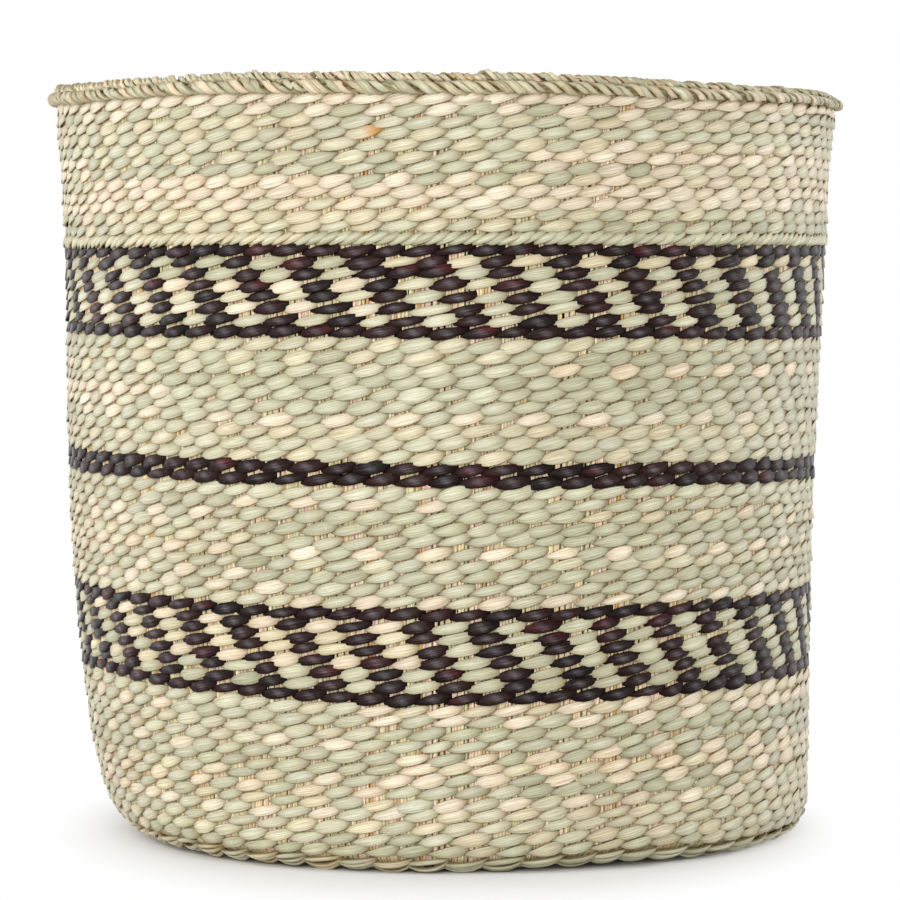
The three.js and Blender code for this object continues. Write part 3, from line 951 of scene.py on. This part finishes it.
foot_weave = Weave()
foot_courses(foot_weave, FOOT_COURSE_SEED)
foot_wale(foot_weave, FOOT_WALE_SEED)
add_piece("foot_wale_twining", foot_weave, FOOT_COLUMNS, (rush, dark_rush), "cord_rush", "foot_wale")
base_weave = base_courses(BASE_SEED)
base_nodes = ("base_underside", "base_floor")
add_piece("base_twining", base_weave, WALL_COLUMNS, (rush,), "natural_rush", *base_nodes)
add_piece("base_knot_stems", base_knot(KNOT_SEED), STEM_COLUMNS, (stem_grass,), "stems", "base_start")
stake_nodes = [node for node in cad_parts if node.startswith("stake_group")]
add_piece("upright_stems", upright_stems(STEM_SEED), STEM_COLUMNS, (stem_grass,), "stems", *stake_nodes)
for cord in BORDER_CORDS:
    weave = border_cord(cord)
    if cord.node == "border_top_cord":
        stem_ends(weave, STEM_END_SEED)
    add_piece(cord.node + "_twist", weave, CORD_COLUMNS, (cord_rush,), "cord_rush", cord.node)


# Stage, light and camera. Places and sizes of the stage and the softboxes are in metres.

FLOOR_SIZE = 6.0
FLOOR_TONE = 0.92
SHADOW_REACH = (0.185, 0.275)  # the floor fades to white between these distances from the basket's axis
SIDE_LIGHT = 1.5  # towards the softboxes at the sides it fades sooner by this
WORLD_LIGHT = 0.45
WHITE = (1, 1, 1, 1)

Softbox = namedtuple("Softbox", "name place aim size power")
WALL_MIDDLE = (0, 0, 0.16)
SOFTBOXES = (
    Softbox("front_softbox", (-0.2, -1.8, 0.75), WALL_MIDDLE, (0.8, 0.6), 11.9),
    Softbox("low_softbox", (-0.8, -1.6, 0.16), (0, 0, 0.02), (1.2, 0.24), 4),
    Softbox("top_softbox", (0, -0.3, 1.7), (0, 0, 0.3), (1.0, 1.0), 5),
    Softbox("left_softbox", (-1.6, -0.6, 0.6), WALL_MIDDLE, (0.9, 1.2), 7.8),
    Softbox("right_softbox", (1.6, -0.6, 0.6), WALL_MIDDLE, (0.9, 1.2), 4.8),
    Softbox("left_edge_softbox", (-1.3, 0.5, 0.5), WALL_MIDDLE, (0.5, 1.0), 4),
    Softbox("right_edge_softbox", (1.3, 0.5, 0.5), WALL_MIDDLE, (0.5, 1.0), 4),
)

EYE_HEIGHT = 271.25
EYE_DISTANCE = 2065.0
AXIS_OFFSET = 1.4  # the basket's axis is a little left of the middle of the picture
EYE_PITCH = 2.773  # degrees down from level
LENS = 181.7
SENSOR = 36.0


def seen_directly(tree):
    """1 for rays that show the background: from the camera, and through gloss and glass."""
    path = add_node(tree, "ShaderNodeLightPath")
    either = add_node(
        tree, "ShaderNodeMath", {0: path.outputs["Is Camera Ray"], 1: path.outputs["Is Glossy Ray"]},
        operation="MAXIMUM")
    return add_node(
        tree, "ShaderNodeMath", {0: either.outputs[0], 1: path.outputs["Is Transmission Ray"]},
        operation="MAXIMUM").outputs[0]


def white_paper_floor():
    """Seamless white paper. It takes the basket's shadow and fades to plain white further out."""
    material, tree = new_material("white_paper_floor")
    place = add_node(tree, "ShaderNodeNewGeometry").outputs["Position"]
    squeezed = multiplied(tree, place, (SIDE_LIGHT, 1, 1))
    distance = add_node(tree, "ShaderNodeVectorMath", {0: squeezed}, operation="LENGTH").outputs["Value"]
    fade = add_node(
        tree, "ShaderNodeMapRange",
        {"Value": distance, "From Min": SHADOW_REACH[0], "From Max": SHADOW_REACH[1]},
        interpolation_type="SMOOTHSTEP")
    share = add_node(
        tree, "ShaderNodeMath", {0: fade.outputs[0], 1: seen_directly(tree)}, operation="MULTIPLY")
    paper = add_node(
        tree, "ShaderNodeBsdfDiffuse", {"Color": (FLOOR_TONE, FLOOR_TONE, FLOOR_TONE, 1)})
    white = add_node(tree, "ShaderNodeEmission", {"Color": WHITE, "Strength": 1.0})
    mixed = add_node(
        tree, "ShaderNodeMixShader", {0: share.outputs[0], 1: paper.outputs[0], 2: white.outputs[0]})
    add_node(tree, "ShaderNodeOutputMaterial", {"Surface": mixed.outputs[0]})
    return material


def add_floor():
    mesh = bpy.data.meshes.new("floor")
    half = FLOOR_SIZE / 2
    corners = [(-half, -half, 0), (half, -half, 0), (half, half, 0), (-half, half, 0)]
    mesh.from_pydata(corners, [], [(0, 1, 2, 3)])
    mesh.materials.append(white_paper_floor())
    floor = bpy.data.objects.new("floor", mesh)
    bpy.context.scene.collection.objects.link(floor)


def add_world():
    """A light tent, which is plain white where it is seen itself."""
    world = bpy.data.worlds.new("light_tent")
    bpy.context.scene.world = world
    world.use_nodes = True
    tree = world.node_tree
    tree.nodes.clear()
    light = add_node(tree, "ShaderNodeBackground", {"Color": WHITE, "Strength": WORLD_LIGHT})
    white = add_node(tree, "ShaderNodeBackground", {"Color": WHITE, "Strength": 1.0})
    mixed = add_node(
        tree, "ShaderNodeMixShader", {0: seen_directly(tree), 1: light.outputs[0], 2: white.outputs[0]})
    add_node(tree, "ShaderNodeOutputWorld", {"Surface": mixed.outputs[0]})


def add_softbox(softbox):
    light = bpy.data.lights.new(softbox.name, "AREA")
    light.shape = "RECTANGLE"
    light.size, light.size_y = softbox.size
    light.energy = softbox.power
    lamp = bpy.data.objects.new(softbox.name, light)
    lamp.location = softbox.place
    heading = Vector(softbox.aim) - Vector(softbox.place)
    lamp.rotation_euler = heading.to_track_quat("-Z", "Y").to_euler()
    bpy.context.scene.collection.objects.link(lamp)


def add_camera():
    data = bpy.data.cameras.new("camera")
    data.lens = LENS
    data.sensor_width = SENSOR
    camera = bpy.data.objects.new("camera", data)
    camera.location = (AXIS_OFFSET * MM, -EYE_DISTANCE * MM, EYE_HEIGHT * MM)
    camera.rotation_euler = (math.radians(90 - EYE_PITCH), 0, 0)
    bpy.context.scene.collection.objects.link(camera)
    bpy.context.scene.camera = camera


add_floor()
add_world()
for softbox in SOFTBOXES:
    add_softbox(softbox)
add_camera()
bpy.context.scene.view_settings.view_transform = "Standard"
